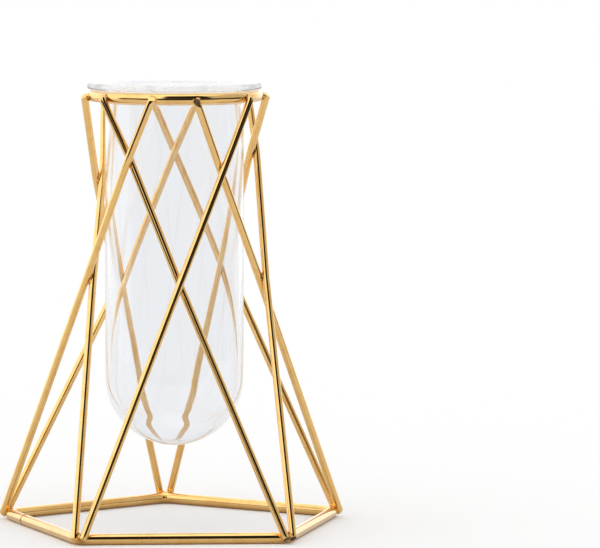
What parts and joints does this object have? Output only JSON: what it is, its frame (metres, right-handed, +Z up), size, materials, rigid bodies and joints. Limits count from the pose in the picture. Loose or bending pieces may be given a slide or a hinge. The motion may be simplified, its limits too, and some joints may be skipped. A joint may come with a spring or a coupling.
{
  "type": "test tube vase",
  "caption": "Clear glass test tube vase that hangs by its flared rim in a welded gold wire stand with criss-crossed struts, and lifts out.",
  "frame": {"origin": "on the vase's axis, in the plane of the table that the base ring stands on", "axes": "+Z up along the glass tube's axis, +Y to the base's back corner, -Y through the middle of its front side, +X to the right"},
  "size_m": [0.1587, 0.1531, 0.2021],
  "materials": {
    "clear_glass": "polished",
    "gold_plate": "polished",
    "weld_metal": "satin"
  },
  "bodies": {
    "stand": {"top_ring": "gold_plate", "base_ring": "gold_plate", "outer_strut_1": "gold_plate", "outer_strut_2": "gold_plate", "outer_strut_3": "gold_plate", "outer_strut_4": "gold_plate", "outer_strut_5": "gold_plate", "inner_strut_1": "gold_plate", "inner_strut_2": "gold_plate", "inner_strut_3": "gold_plate", "inner_strut_4": "gold_plate", "inner_strut_5": "gold_plate", "top_ring_closing_weld": "weld_metal", "base_ring_closing_weld": "weld_metal", "top_ring_welds": "weld_metal", "base_corner_welds": "weld_metal", "upper_crossing_welds": "weld_metal", "lower_crossing_welds": "weld_metal"},
    "glass": {"glass_tube": "clear_glass"}
  },
  "joints": [
    {"name": "glass_lift", "type": "slide", "parent": "stand", "child": "glass", "axis": [0, 0, 1], "range_m": [0, 0.17]}
  ]
}
